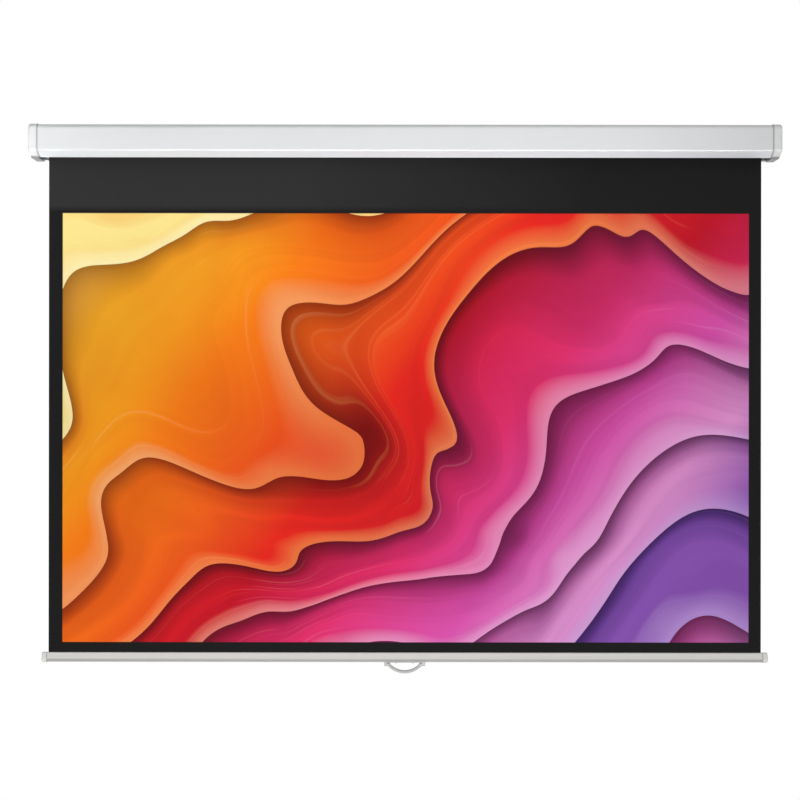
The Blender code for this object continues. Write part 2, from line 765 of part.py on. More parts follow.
def spring_end():
    """The pieces that stand still in the roller: spindle, collar, anchor and spring."""
    axis = (AXIS_Y, AXIS_Z)
    bore = SPINDLE_RADIUS + CLEARANCE
    spindle = cylinder("spindle", SPINDLE_IN, MOUTH - CLEARANCE, SPINDLE_RADIUS, axis, 16)
    tenon = block(
        "tenon",
        (MOUTH - TENON_REACH, AXIS_Y - TENON_THICKNESS / 2, AXIS_Z - SPINDLE_RADIUS),
        (BRACKET_OUT + TENON_REACH, AXIS_Y + TENON_THICKNESS / 2, AXIS_Z + SPINDLE_RADIUS),
    )
    dressed(combine(spindle, tenon, "UNION"), "screw_steel")

    hole = arc((0, 0), bore, 0, 360 - 22.5, 15)
    collar = drawn("ratchet_collar", [ratchet_outline(), hole], PAWL_X, PAWL_X + PAWL_THICKNESS)
    collar.location.yz = axis
    hub = drawn(
        "collar_hub", [arc((0, 0), COLLAR_HUB_RADIUS, 0, 360 - 22.5, 15), hole],
        PAWL_X, PAWL_X + PAWL_THICKNESS + COLLAR_HUB_LENGTH,
    )
    hub.location.yz = axis
    dressed(combine(collar, hub, "UNION"), "pawl_metal")

    anchor = [
        (ANCHOR_X, bore),
        (ANCHOR_X, ANCHOR_FLANGE),
        (ANCHOR_X + ANCHOR_FLANGE_THICKNESS, ANCHOR_FLANGE),
        (ANCHOR_X + ANCHOR_FLANGE_THICKNESS, SPRING_SEAT),
        (ANCHOR_X + ANCHOR_LENGTH, SPRING_SEAT),
        (ANCHOR_X + ANCHOR_LENGTH, bore),
    ]
    dressed(turned("spring_anchor", anchor, 24, (0, *axis)), "plug_plastic")

    start = ANCHOR_X + ANCHOR_FLANGE_THICKNESS + CLEARANCE + SPRING_WIRE / 2
    end = TUBE_END - PLUG_DEPTH - CLEARANCE - SPRING_WIRE / 2
    count = SPRING_TURNS * SPRING_POINTS
    curve = bpy.data.curves.new("torsion_spring", "CURVE")
    curve.dimensions = "3D"
    curve.bevel_depth = SPRING_WIRE / 2
    curve.bevel_resolution = 1
    curve.use_fill_caps = True
    spline = curve.splines.new("POLY")
    spline.points.add(count)
    for i, point in enumerate(spline.points):
        angle = 2 * math.pi * i / SPRING_POINTS
        along = start + (end - start) * i / count
        point.co = (along, SPRING_RADIUS * math.cos(angle), SPRING_RADIUS * math.sin(angle), 1)
    dressed(made_mesh("torsion_spring", curve, place=(0, *axis)), "spring_steel", smooth=60)


def guide(roller):
    """A disc in the tube that centres the spindle's inner end."""
    bore = SPINDLE_RADIUS + CLEARANCE
    start = SPINDLE_IN + GUIDE_OVERLAP - GUIDE_THICKNESS
    profile = [
        (start, bore), (start, PLUG_RADIUS),
        (start + GUIDE_THICKNESS, PLUG_RADIUS), (start + GUIDE_THICKNESS, bore),
    ]
    return dressed(turned("spindle_guide", profile, 32), "plug_plastic", roller)


def pawls(roller):
    """Two pawls on pins, opposite each other; each has its origin on its own pin."""
    lean = math.radians(270 - PAWL_LEAN)
    nose = (PAWL_LENGTH * math.cos(lean), PAWL_LENGTH * math.sin(lean))
    taper = math.degrees(math.asin((PAWL_HUB - PAWL_NOSE) / PAWL_LENGTH))
    heading = 270 - PAWL_LEAN
    outline = arc((0, 0), PAWL_HUB, heading + 90 - taper, heading + 270 + taper, 10)
    outline += arc(nose, PAWL_NOSE, heading - 90 + taper, heading + 90 - taper, 6)
    hole = arc((0, 0), PAWL_PIN_RADIUS + CLEARANCE, 0, 330, 11)
    head = PAWL_X + PAWL_THICKNESS + CLEARANCE
    profile = [
        (CARRIER_FACE - PAWL_PIN_DEPTH, 0.0),
        (CARRIER_FACE - PAWL_PIN_DEPTH, PAWL_PIN_RADIUS),
        (head, PAWL_PIN_RADIUS),
        (head, PAWL_PIN_HEAD),
        (head + PAWL_PIN_HEAD_HEIGHT, PAWL_PIN_HEAD),
        (head + PAWL_PIN_HEAD_HEIGHT, 0.0),
    ]
    for name, side in (("a", 1), ("b", -1)):
        place = (0, 0, side * PAWL_PIVOT)
        joint = pivot(f"pawl_{name}_pivot", place, roller)
        item = drawn(f"pawl_{name}", [outline, hole], PAWL_X, PAWL_X + PAWL_THICKNESS)
        if side < 0:
            item.rotation_euler.rotate_axis("Z", math.pi)
        dressed(item, "pawl_metal", joint)
        pin = turned(f"pawl_pin_{name}", profile, 16, place)
        dressed(pin, "screw_steel", roller)


def drop_outline(proud=0.0, steps=9):
    """The bottom bar's drop outline: a belly and a neck, joined by straight flanks."""
    lean = math.degrees(math.asin((BAR_BELLY - BAR_NECK) / (NECK_Z - BELLY_Z)))
    belly = arc((0, BELLY_Z), BAR_BELLY + proud, 180 - lean, 360 + lean, 2 * steps)
    return belly, arc((0, NECK_Z), BAR_NECK + proud, lean, 180 - lean, steps)


def bottom_bar(pull):
    """The weight bar: an extrusion with a hollow belly and a channel for the hem."""
    belly, neck = drop_outline()
    gap = math.degrees(math.asin(HEM_SLOT / 2 / BAR_NECK))
    mouth = math.degrees(math.asin(HEM_SLOT / 2 / HEM_CHANNEL))
    left = [p for p in neck if p[0] < -HEM_SLOT]
    right = [p for p in neck if p[0] > HEM_SLOT]
    outline = belly + right + arc((0, NECK_Z), BAR_NECK, 90 - gap, 90 - gap, 1)[:1]
    outline += arc((0, NECK_Z), HEM_CHANNEL, 90 - mouth, -270 + mouth, 20)
    outline += arc((0, NECK_Z), BAR_NECK, 90 + gap, 90 + gap, 1)[:1] + left
    hollow = arc((0, BELLY_Z), BAR_BELLY - BAR_WALL, 0, 345, 23)
    item = drawn("bottom_bar", [outline, hollow], -BAR_END, BAR_END)
    item.location.y = FABRIC_Y
    for side in (-1, 1):
        hole = cylinder("saddle_hole", -BAR_HEIGHT, 0, SADDLE_SCREW_RADIUS + CLEARANCE, steps=12)
        hole.rotation_euler = (0, 0, 0)
        hole.location = (side * SADDLE_SCREW_X, FABRIC_Y, BAR_BOTTOM)
        combine(item, hole, "DIFFERENCE")
    return dressed(item, "bar_metal", pull)


def bar_caps(pull):
    """The bar's end caps: a rounded cover with a plug that goes into the hollow belly."""
    rings = []
    for x, depth in eased(BAR_END + CLEARANCE, BAR_END + BAR_CAP_WIDTH, BAR_CAP_EDGE, 3):
        belly, neck = drop_outline(BAR_CAP_PROUD - depth, 6)
        rings.append((x, belly + neck))
    item = lofted("right_bar_cap", rings)
    plug = cylinder(
        "bar_cap_plug", BAR_END - BAR_SPIGOT, BAR_END + BAR_CAP_WIDTH / 2,
        BAR_BELLY - BAR_WALL - CLEARANCE, (0, BELLY_Z),
    )
    combine(item, plug, "UNION")
    bpy.context.view_layer.update()
    other = mirrored(item, "left_bar_cap")
    for cap in (item, other):
        cap.location.y = FABRIC_Y
        dressed(cap, "bar_plastic", pull)
    plug.location.y = FABRIC_Y


def screen_fabric(pull):
    """The hanging sheet, with a hem round the rod that holds it in the bar."""
    half = FABRIC_THICKNESS / 2
    spread = math.degrees(math.asin(half / HEM_OUTER))
    outline = arc((0, NECK_Z), HEM_OUTER, 90 + spread, 450 - spread, 16)
    outline += [(half, AXIS_Z - CLEARANCE), (-half, AXIS_Z - CLEARANCE)]
    loop = arc((0, NECK_Z), HEM_BORE, 0, 337.5, 15)
    item = drawn("screen_fabric", [outline, loop], -FABRIC_WIDTH / 2, FABRIC_WIDTH / 2)
    item.location.y = FABRIC_Y
    rod = cylinder(
        "hem_rod", -FABRIC_WIDTH / 2, FABRIC_WIDTH / 2, HEM_ROD, (FABRIC_Y, NECK_Z), 12
    )
    dressed(rod, "screw_steel", pull)
    return dressed(item, "fabric", pull)


def saddle(pull):
    """The clip under the bar: a curved plate with an ear at each end for the bail's pins."""
    low, high = 270 - SADDLE_ARC, 270 + SADDLE_ARC
    centre = (0, BELLY_Z)
    plate = arc(centre, SADDLE_OUTER, low, high, 12) + arc(centre, SADDLE_INNER, high, low, 12)
    item = drawn("handle_saddle", [plate], -SADDLE_HALF, SADDLE_HALF)
    ear = arc((0, PIVOT_Z), EAR_RADIUS, 180, 360, 10)
    ear += [(EAR_RADIUS, BELLY_Z - BAR_NECK), (-EAR_RADIUS, BELLY_Z - BAR_NECK)]
    for side, low_x in ((-1, -SADDLE_HALF), (1, EAR_IN)):
        lug = prism(f"ear_{side}", ear, low_x, low_x + EAR_WIDTH)
        lug.location.y = FABRIC_Y
        combine(item, lug, "UNION")
    for name, radius, height in (
        ("bar_clear", SADDLE_INNER, BELLY_Z),
        ("pin_bore", BAIL_PIN + CLEARANCE, PIVOT_Z),
    ):
        half = CASE_LENGTH / 4
        bore = cylinder(name, -half, half, radius, (FABRIC_Y, height), 24)
        combine(item, bore, "DIFFERENCE")
    item.location.y = FABRIC_Y
    seat = BELLY_Z - SADDLE_OUTER
    for side, name in ((-1, "left"), (1, "right")):
        hole = cylinder(f"screw_hole_{name}", -BAR_HEIGHT, 0, SADDLE_SCREW_RADIUS + CLEARANCE, steps=12)
        hole.rotation_euler = (0, 0, 0)
        hole.location = (side * SADDLE_SCREW_X, FABRIC_Y, BAR_BOTTOM)
        combine(item, hole, "DIFFERENCE")
        profile = screw_profile(
            CLEARANCE, SADDLE_SCREW_RADIUS, SADDLE_SCREW_HEAD, SADDLE_SCREW_HEAD_HEIGHT,
            SADDLE_SCREW_GRIP, SADDLE_SCREW_RADIUS / 2,
        )
        screw = turned(f"saddle_screw_{name}", profile, 12)
        screw.rotation_euler = (math.pi, 0, 0)
        screw.location = (side * SADDLE_SCREW_X, FABRIC_Y, seat)
        dressed(screw, "screw_steel", pull)
    return dressed(item, "handle_plastic", pull)


def pull_handle(bail):
    """The bail: a round arc that ends in two hubs, whose pins run in the saddle's ears."""
    radius = (BAIL_HALF**2 + BAIL_SAG**2) / (2 * BAIL_SAG)
    half = math.degrees(math.asin(BAIL_HALF / radius))
    curve = bpy.data.curves.new("pull_handle", "CURVE")
    curve.dimensions = "3D"
    curve.bevel_depth = BAIL_RADIUS
    curve.bevel_resolution = 3
    curve.use_fill_caps = True
    spline = curve.splines.new("POLY")
    route = arc((0, radius - BAIL_SAG), radius, 270 - half, 270 + half, 22)
    spline.points.add(len(route) - 1)
    for point, (x, z) in zip(spline.points, route):
        point.co = (x, 0, z, 1)
    item = made_mesh("pull_handle", curve)
    item.parent = bail
    for side in (-1, 1):
        ends = sorted((side * (EAR_IN - CLEARANCE), side * (EAR_IN - CLEARANCE - BAIL_HUB)))
        hub = cylinder(f"bail_hub_{side}", *ends, BAIL_RADIUS, steps=16)
        pins = sorted((side * BAIL_HALF, side * (EAR_IN + BAIL_PIN_REACH)))
        pin = cylinder(f"bail_pin_{side}", *pins, BAIL_PIN, steps=16)
        for piece in (hub, pin):
            piece.parent = bail
            combine(item, piece, "UNION")
    return dressed(item, "handle_plastic", bail)


def main():
    """Builds every piece, on the empty of the joint that moves it."""
    roller = pivot("roller_axis", (0, AXIS_Y, AXIS_Z))
    pull = pivot("pull_slide", (0, 0, 0))
    bail = pivot("handle_pivot", (0, FABRIC_Y, PIVOT_Z), pull)
    case_housing()
    cap = end_cap()
    bpy.context.view_layer.update()
    dressed(mirrored(cap, "left_end_cap"), "cap_plastic")
    brackets()
    cap_screws()
    idle_end(roller)
    roller_tube(roller)
    fabric_roll(roller)
    carrier(roller)
    spring_end()
    guide(roller)
    pawls(roller)
    screen_fabric(pull)
    bottom_bar(pull)
    bar_caps(pull)
    saddle(pull)
    pull_handle(bail)


main()
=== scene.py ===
"""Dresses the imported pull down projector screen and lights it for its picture.

Metres throughout: +X to the viewer's right, +Y into the wall, +Z up. Every piece rides on the
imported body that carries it, and the solids whose shape already holds keep that shape here.
"""

import logging
import math
from dataclasses import dataclass
from enum import Enum
from typing import Callable, Iterable, Optional, Sequence, Union

import bmesh
import bpy
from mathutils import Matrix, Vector


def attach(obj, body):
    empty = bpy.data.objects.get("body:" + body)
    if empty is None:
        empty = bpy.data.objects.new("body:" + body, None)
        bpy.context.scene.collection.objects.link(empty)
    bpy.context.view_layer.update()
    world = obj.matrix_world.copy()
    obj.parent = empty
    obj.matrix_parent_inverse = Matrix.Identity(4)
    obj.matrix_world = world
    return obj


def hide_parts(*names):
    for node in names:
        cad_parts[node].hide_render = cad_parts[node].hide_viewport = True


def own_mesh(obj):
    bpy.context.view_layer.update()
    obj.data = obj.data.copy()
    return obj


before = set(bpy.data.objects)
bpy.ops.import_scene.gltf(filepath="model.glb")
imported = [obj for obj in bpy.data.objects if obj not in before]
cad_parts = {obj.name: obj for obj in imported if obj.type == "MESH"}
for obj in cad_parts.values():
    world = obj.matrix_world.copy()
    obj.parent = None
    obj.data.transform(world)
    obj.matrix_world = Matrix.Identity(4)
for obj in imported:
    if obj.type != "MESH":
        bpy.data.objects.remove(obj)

log = logging.getLogger("projector_screen")

Colour = tuple[float, float, float]
Point2 = tuple[float, float]
Number = Union[int, float]
Stops = tuple[tuple[float, Colour], ...]

# Colour of the painted shadow in the joints between the case, the bar and their caps.
JOINT_SHADOW_COLOUR: Colour = (0.22, 0.22, 0.225)

# The cloth's threads: radians per metre across them, and how a thick one runs.
THREAD = 5200.0
SLUB_ACROSS = 1400.0
SLUB_ALONG = 9.0


class Slot(Enum):
    """The record's material slots."""

    CASE = "case_paint"
    CAP = "cap_plastic"
    BRACKET = "bracket_steel"
    SCREW = "screw_steel"
    TUBE = "tube_steel"
    PLUG = "plug_plastic"
    SPRING = "spring_steel"
    PAWL = "pawl_metal"
    FABRIC = "fabric"
    BAR = "bar_metal"
    BAR_CAP = "bar_plastic"
    HANDLE = "handle_plastic"


class Value:
    """One number socket of a node graph; arithmetic on it adds Math nodes."""

    def __init__(self, graph: "Graph", socket: bpy.types.NodeSocket) -> None:
        """Wraps a socket.

        Args:
            graph: the graph that the socket belongs to.
            socket: an output that gives one number.
        """
        self.graph = graph
        self.socket = socket

    def __add__(self, other: "Operand") -> "Value":
        """Sum."""
        return self.graph.math("ADD", self, other)

    def __sub__(self, other: "Operand") -> "Value":
        """Difference."""
        return self.graph.math("SUBTRACT", self, other)

    def __rsub__(self, other: "Operand") -> "Value":
        """Difference from a number."""
        return self.graph.math("SUBTRACT", other, self)

    def __mul__(self, other: "Operand") -> "Value":
        """Product."""
        return self.graph.math("MULTIPLY", self, other)

    def __truediv__(self, other: "Operand") -> "Value":
        """Quotient."""
        return self.graph.math("DIVIDE", self, other)

    def __neg__(self) -> "Value":
        """Opposite."""
        return self.graph.math("MULTIPLY", self, -1.0)

    __radd__ = __add__
    __rmul__ = __mul__


Operand = Union[Value, Number]


class Graph:
    """A material's node graph, with a Principled shader at its end."""

    def __init__(self, name: str, colour: Colour, roughness: float, metallic: float = 0.0) -> None:
        """Starts a material.

        Args:
            name: the material's name.
            colour: its plain colour, which patterns may replace.
            roughness: its plain roughness.
            metallic: 1 for bare metal.
        """
        self.material = bpy.data.materials.new(name)
        self.material.use_nodes = True
        self.tree = self.material.node_tree
        self.shader = self.tree.nodes["Principled BSDF"]
        self.set("Base Color", (*colour, 1.0))
        self.set("Roughness", roughness)
        self.set("Metallic", metallic)

    @classmethod
    def of(cls, tree: bpy.types.NodeTree) -> "Graph":
        """A graph on a node tree that is there already."""
        graph = cls.__new__(cls)
        graph.tree = tree
        return graph

    def shown(self) -> Value:
        """1 for what the eye, a reflection or a clear piece shows, and 0 for light."""
        ray = self.add("LightPath").outputs
        seen = self.math("MAXIMUM", Value(self, ray["Is Camera Ray"]),
                         Value(self, ray["Is Glossy Ray"]))
        return self.math("MAXIMUM", seen, Value(self, ray["Is Transmission Ray"]))

    def set(self, name: str, value: object) -> None:
        """Gives one of the shader's inputs a value or a socket."""
        self.plug(self.shader, name, value)

    def plug(self, node: bpy.types.Node, key: Union[str, int], value: object) -> None:
        """Sets or links one input of a node.

        Args:
            node: the node.
            key: the input's name or number.
            value: a number, a colour, a vector, a socket or a Value.
        """
        if isinstance(value, Value):
            value = value.socket
        if isinstance(value, bpy.types.NodeSocket):
            self.tree.links.new(value, node.inputs[key])
        else:
            node.inputs[key].default_value = value

    def add(self, kind: str, settings: Optional[dict] = None,
            inputs: Optional[dict] = None) -> bpy.types.Node:
        """Adds a node.

        Args:
            kind: its type, without the ShaderNode in front.
            settings: its properties by name.
            inputs: its inputs by name or number.

        Returns:
            The node.
        """
        node = self.tree.nodes.new("ShaderNode" + kind)
        for key, value in (settings or {}).items():
            setattr(node, key, value)
        for key, value in (inputs or {}).items():
            self.plug(node, key, value)
        return node

    def math(self, operation: str, *operands: Operand) -> Value:
        """One Math node on numbers or Values."""
        node = self.add("Math", {"operation": operation}, dict(enumerate(operands)))
        return Value(self, node.outputs[0])

    def vector_math(self, operation: str, *operands: object) -> bpy.types.NodeSocket:
        """One Vector Math node."""
        node = self.add("VectorMath", {"operation": operation}, dict(enumerate(operands)))
        return node.outputs[0]

    def place(self) -> bpy.types.NodeSocket:
        """The point on the object, in metres."""
        return self.add("TexCoord").outputs["Object"]

    def facing(self) -> Value:
        """How far the surface faces up: 1 up, -1 down."""
        return self.axes(self.add("NewGeometry").outputs["Normal"])[2]

    def axes(self, vector: bpy.types.NodeSocket) -> tuple[Value, Value, Value]:
        """The three numbers of a vector."""
        node = self.add("SeparateXYZ", inputs={0: vector})
        return tuple(Value(self, out) for out in node.outputs)

    def vector(self, *numbers: Operand) -> bpy.types.NodeSocket:
        """A vector of up to three numbers."""
        return self.add("CombineXYZ", inputs=dict(enumerate(numbers))).outputs[0]

    def noise(self, vector: bpy.types.NodeSocket, scale: float, detail: float = 2.0,
              out: str = "Fac", distortion: float = 0.0) -> Union[Value, bpy.types.NodeSocket]:
        """A noise texture.

        Args:
            vector: where it is looked up.
            scale: waves per metre.
            detail: octaves.
            out: "Fac" for a Value, "Color" for three numbers.
            distortion: how far it bends itself.

        Returns:
            The Value or the colour socket.
        """
        node = self.add("TexNoise", inputs={
            "Vector": vector, "Scale": scale, "Detail": detail, "Distortion": distortion,
        })
        return Value(self, node.outputs["Fac"]) if out == "Fac" else node.outputs["Color"]

    def span(self, value: Operand, low: float, high: float, first: float = 0.0,
             last: float = 1.0) -> Value:
        """A value taken from one range to another, held at its ends."""
        node = self.add("MapRange", {"clamp": True}, {
            "Value": value, "From Min": low, "From Max": high, "To Min": first, "To Max": last,
        })
        return Value(self, node.outputs["Result"])

    def ramp(self, value: Operand, stops: Stops,
             smooth: bool = True) -> bpy.types.NodeSocket:
        """A colour ramp.

        Args:
            value: where on the ramp to look, from 0 to 1.
            stops: positions and colours in order.
            smooth: eased steps in place of straight ones.

        Returns:
            The colour socket.
        """
        node = self.add("ValToRGB", inputs={"Fac": value})
        node.color_ramp.interpolation = "EASE" if smooth else "LINEAR"
        points = node.color_ramp.elements
        while len(points) < len(stops):
            points.new(0.5)
        for point, (position, colour) in zip(points, stops):
            point.position = position
            point.color = (*colour, 1.0)
        return node.outputs["Color"]

    def mix(self, share: Operand, first: object, second: object,
            blend: str = "MIX") -> bpy.types.NodeSocket:
        """Two colours mixed."""
        node = self.add("Mix", {"data_type": "RGBA", "blend_type": blend})
        for key, value in ((0, share), (6, first), (7, second)):
            self.plug(node, key, (*value, 1.0) if isinstance(value, tuple) else value)
        return node.outputs[2]

    def tones(self, share: Operand, colour: Colour, low: float,
              high: float) -> bpy.types.NodeSocket:
        """A colour that a pattern takes from a darker to a lighter tone.

        Args:
            share: the pattern, from 0 to 1.
            colour: the colour itself.
            low: its darkest tone, as a share of it.
            high: its lightest tone, as a share of it.

        Returns:
            The colour socket.
        """
        return self.mix(share, tuple(c * low for c in colour),
                        tuple(min(c * high, 1.0) for c in colour))

    def bump(self, height: Operand, depth: float, strength: float = 1.0,
             under: Optional[bpy.types.NodeSocket] = None) -> bpy.types.NodeSocket:
        """A bump, over another one if there is one.

        Args:
            height: from 0 to 1.
            depth: what a height of 1 stands for, in metres.
            strength: its share.
            under: the normal that it goes over.

        Returns:
            The normal socket.
        """
        inputs = {"Height": height, "Distance": depth, "Strength": strength}
        if under is not None:
            inputs["Normal"] = under
        return self.add("Bump", inputs=inputs).outputs["Normal"]


@dataclass(frozen=True)
class Coating:
    """Satin paint on an extrusion: orange peel, draw lines along X and a painted shadow in the
    joints.

    What faces up has a painted shade, darker, and the strip that faces down has a painted cool tint
    that offsets the warm light the picture bounces onto it.
    """

    name: str
    colour: Colour
    roughness: float
    joint: float
    joint_width: float = 0.0034
    coat: float = 0.28
    coat_roughness: float = 0.16
    top_shade_colour: Colour = (0.46, 0.46, 0.46)
    top_shade_share: float = 0.05
    cool_tint_colour: Colour = (0.72, 0.785, 0.83)
    cool_tint_share: float = 0.40
    draw_waves: float = 900.0
    draw_depth: float = 0.00003
    peel_waves: float = 650.0
    peel_depth: float = 0.00005

    def build(self) -> bpy.types.Material:
        """The material."""
        graph = Graph(self.name, self.colour, self.roughness)
        place = graph.place()
        x, y, z = graph.axes(place)
        lines = graph.vector(x * 2.0, y * self.draw_waves, z * self.draw_waves)
        drawn = graph.noise(lines, 1.0, 2.0)
        peel = graph.noise(place, self.peel_waves, 1.0)
        cloud = graph.noise(place, 2.6, 2.0)
        tone = graph.tones(cloud * 0.5 + drawn * 0.5, self.colour, 0.95, 1.045)
        facing = graph.facing()
        # Painted shade: what faces up is darker.
        top_shade = graph.span(facing, 0.0, 0.35, 0.0, self.top_shade_share) * (0.8 + cloud * 0.4)
        tone = graph.mix(top_shade, tone, self.top_shade_colour)
        # Painted cool tint on what faces down, set against the warm light bounced from the picture.
        cool_tint = graph.span(facing, -0.85, -0.55, self.cool_tint_share, 0.0)
        tone = graph.mix(cool_tint, tone, self.cool_tint_colour)
        graph.set("Base Color", joint_shade(graph, x, tone, self.joint, self.joint_width))
        dull = top_shade * 0.25
        graph.set("Roughness",
                  self.roughness + (drawn - 0.5) * 0.16 + (cloud - 0.5) * 0.08 + dull)
        under = graph.bump(drawn, self.draw_depth, 0.6)
        graph.set("Normal", graph.bump(peel, self.peel_depth, 0.5, under))
        graph.set("Coat Weight", self.coat)
        graph.set("Coat Roughness", self.coat_roughness)
        return graph.material


def joint_shade(graph: Graph, x: Value, colour: object, joint: float,
                width: float) -> bpy.types.NodeSocket:
    """A colour with a painted shadow in the joint between the case and its caps.

    Args:
        graph: the material's graph.
        x: the place along the case.
        colour: the colour away from the joint.
        joint: how far out the joint lies.
        width: how far the painted shadow reaches to each side.

    Returns:
        The colour socket.
    """
    away = graph.math("ABSOLUTE", graph.math("ABSOLUTE", x) - joint)
    # Painted shadow: darker within the joint's width on each side.
    gap_shadow = graph.span(away, width * 0.2, width, 0.5, 0.0)
    return graph.mix(gap_shadow, colour, JOINT_SHADOW_COLOUR)


@dataclass(frozen=True)
class Moulding:
    """Moulded plastic: fine spark-eroded grain, faint flow marks, an optional painted joint shadow,
    an optional painted shade low on its foot, and gloss.
    """

    name: str
    colour: Colour
    roughness: float
    grain: float = 1500.0
    grain_depth: float = 0.00005
    coat: float = 0.0
    joint: float = 0.0
    joint_width: float = 0.0034
    wear: float = 0.0
    foot: Optional[Point2] = None
    foot_shade_share: float = 0.80
    foot_shade_colour: Colour = (0.12, 0.12, 0.122)

    def build(self) -> bpy.types.Material:
        """The material."""
        graph = Graph(self.name, self.colour, self.roughness)
        place = graph.place()
        x = graph.axes(place)[0]
        grain = graph.noise(place, self.grain, 3.0)
        flow = graph.noise(place, 38.0, 3.0, distortion=0.8)
        tone = graph.tones(flow, self.colour, 0.96, 1.035)
        if self.wear:
            rub = graph.span(graph.noise(place, 210.0, 4.0), 0.56, 0.72, 0.0, self.wear)
            tone = graph.mix(rub, tone, tuple(c * 0.8 for c in self.colour))
        # Painted shade: the cap darkens towards its bottom.
        if self.foot:
            foot_shade = graph.span(graph.axes(place)[2], *self.foot, self.foot_shade_share, 0.0)
            tone = graph.mix(foot_shade, tone, self.foot_shade_colour)
        # Painted shadow in the joint with the case or the bar.
        if self.joint:
            tone = joint_shade(graph, x, tone, self.joint, self.joint_width)
        graph.set("Base Color", tone)
        graph.set("Roughness", self.roughness + (grain - 0.5) * 0.12 + (flow - 0.5) * 0.08)
        graph.set("Normal", graph.bump(grain, self.grain_depth, 0.4))
        graph.set("Coat Weight", self.coat)
        graph.set("Coat Roughness", 0.12)
        return graph.material


@dataclass(frozen=True)
class Plating:
    """Plated or bare steel: zinc spangle, rolling streaks and a few darker stains."""

    name: str
    colour: Colour
    roughness: float
    spangle: float = 0.0
    streak: float = 900.0
    stain: float = 0.25

    def build(self) -> bpy.types.Material:
        """The material."""
        graph = Graph(self.name, self.colour, self.roughness, 1.0)
        place = graph.place()
        x, y, z = graph.axes(place)
        streaks = graph.noise(graph.vector(x * 8.0, y * self.streak, z * self.streak), 1.0, 3.0)
        stains = graph.noise(place, 55.0, 4.0)
        spoiled = graph.span(stains, 0.5, 0.75, 0.0, self.stain)
        tone = graph.tones(streaks, self.colour, 0.9, 1.08)
        rough = self.roughness + (streaks - 0.5) * 0.16
        if self.spangle:
            cells = graph.add("TexVoronoi", inputs={"Vector": place, "Scale": self.spangle})
            leaf = Value(graph, graph.add("SeparateColor", inputs={
                0: cells.outputs["Color"]}).outputs[0])
            tone = graph.mix(leaf * 0.3, tone, tuple(c * 0.72 for c in self.colour))
            rough = rough + (leaf - 0.5) * 0.14
        graph.set("Base Color", graph.mix(spoiled, tone, tuple(c * 0.45 for c in self.colour)))
        graph.set("Roughness", rough + spoiled * 0.3)
        graph.set("Normal", graph.bump(streaks, 0.00002, 0.35))
        return graph.material


@dataclass(frozen=True)
class Anodised:
    """Satin anodised extrusion: fine draw lines along X, with rubbed patches and a painted shade on
    the side that faces down.
    """

    name: str
    colour: Colour
    roughness: float
    metallic: float = 0.1
    rubbed: Colour = (0.78, 0.755, 0.74)
    lower_shade_colour: Colour = (0.20, 0.19, 0.18)
    lower_shade_share: float = 0.68
    fine_waves: float = 2600.0
    broad_waves: float = 300.0

    def build(self) -> bpy.types.Material:
        """The material."""
        graph = Graph(self.name, self.colour, self.roughness, self.metallic)
        place = graph.place()
        x, y, z = graph.axes(place)
        fine = graph.noise(
            graph.vector(x * 4.0, y * self.fine_waves, z * self.fine_waves), 1.0, 2.0)
        broad = graph.noise(
            graph.vector(x * 1.2, y * self.broad_waves, z * self.broad_waves), 1.0, 2.0)
        cloud = graph.noise(place, 4.0, 3.0)
        tone = graph.tones(fine * 0.4 + broad * 0.6, self.colour, 0.87, 1.11)
        tone = graph.mix(graph.span(cloud, 0.35, 0.75, 0.0, 0.25), tone, self.rubbed)
        facing = graph.facing()
        # Painted shade: the bar darkens where it turns down, less so at its very bottom.
        lower_shade = graph.span(facing, -0.10, 0.38, self.lower_shade_share, 0.0)
        lower_shade = lower_shade * graph.span(facing, -0.95, -0.45, 0.35, 1.0)
        graph.set("Base Color", graph.mix(lower_shade, tone, self.lower_shade_colour))
        graph.set("Roughness", self.roughness + (fine - 0.5) * 0.14 + (cloud - 0.5) * 0.08)
        graph.set("Normal", graph.bump(fine, 0.00002, 0.5))
        return graph.material


@dataclass(frozen=True)
class SheetCoordinates:
    """Where the picture lies on the fabric's own map, in metres."""

    width: float
    height: float
    picture_width: float
    picture_height: float
    bottom_border: float
    picture_right: float
    map_name: str = "sheet"

    def read(self, graph: Graph) -> tuple[Value, Value]:
        """Metres from the picture's middle to the right, and from its foot up."""
        source = graph.add("UVMap", {"uv_map": self.map_name}).outputs["UV"]
        u, v, _ = graph.axes(source)
        return (u - 0.5) * self.width - self.picture_right, v * self.height - self.bottom_border


def weave(graph: Graph, x: Value, z: Value) -> tuple[bpy.types.NodeSocket, Value]:
    """The cloth's surface: warp and weft under a matte coat, with stray thicker threads.

    Args:
        graph: the material's graph.
        x: metres across the sheet.
        z: metres up the sheet.

    Returns:
        The normal socket, and a Value from 0 to 1 that follows the threads.
    """
    warp = graph.math("SINE", x * THREAD) * 0.5 + 0.5
    weft = graph.math("SINE", z * THREAD) * 0.5 + 0.5
    slub_x = graph.noise(graph.vector(x * SLUB_ACROSS, z * SLUB_ALONG), 1.0, 2.0)
    slub_z = graph.noise(graph.vector(x * SLUB_ALONG, z * SLUB_ACROSS, 3.0), 1.0, 2.0)
    threads = warp * 0.25 + weft * 0.25 + slub_x * 0.25 + slub_z * 0.25
    grain = graph.noise(graph.vector(x, z, 0.0), 900.0, 3.0)
    under = graph.bump(grain, 0.00006, 0.5)
    return graph.bump(threads, 0.00011, 0.7, under), threads


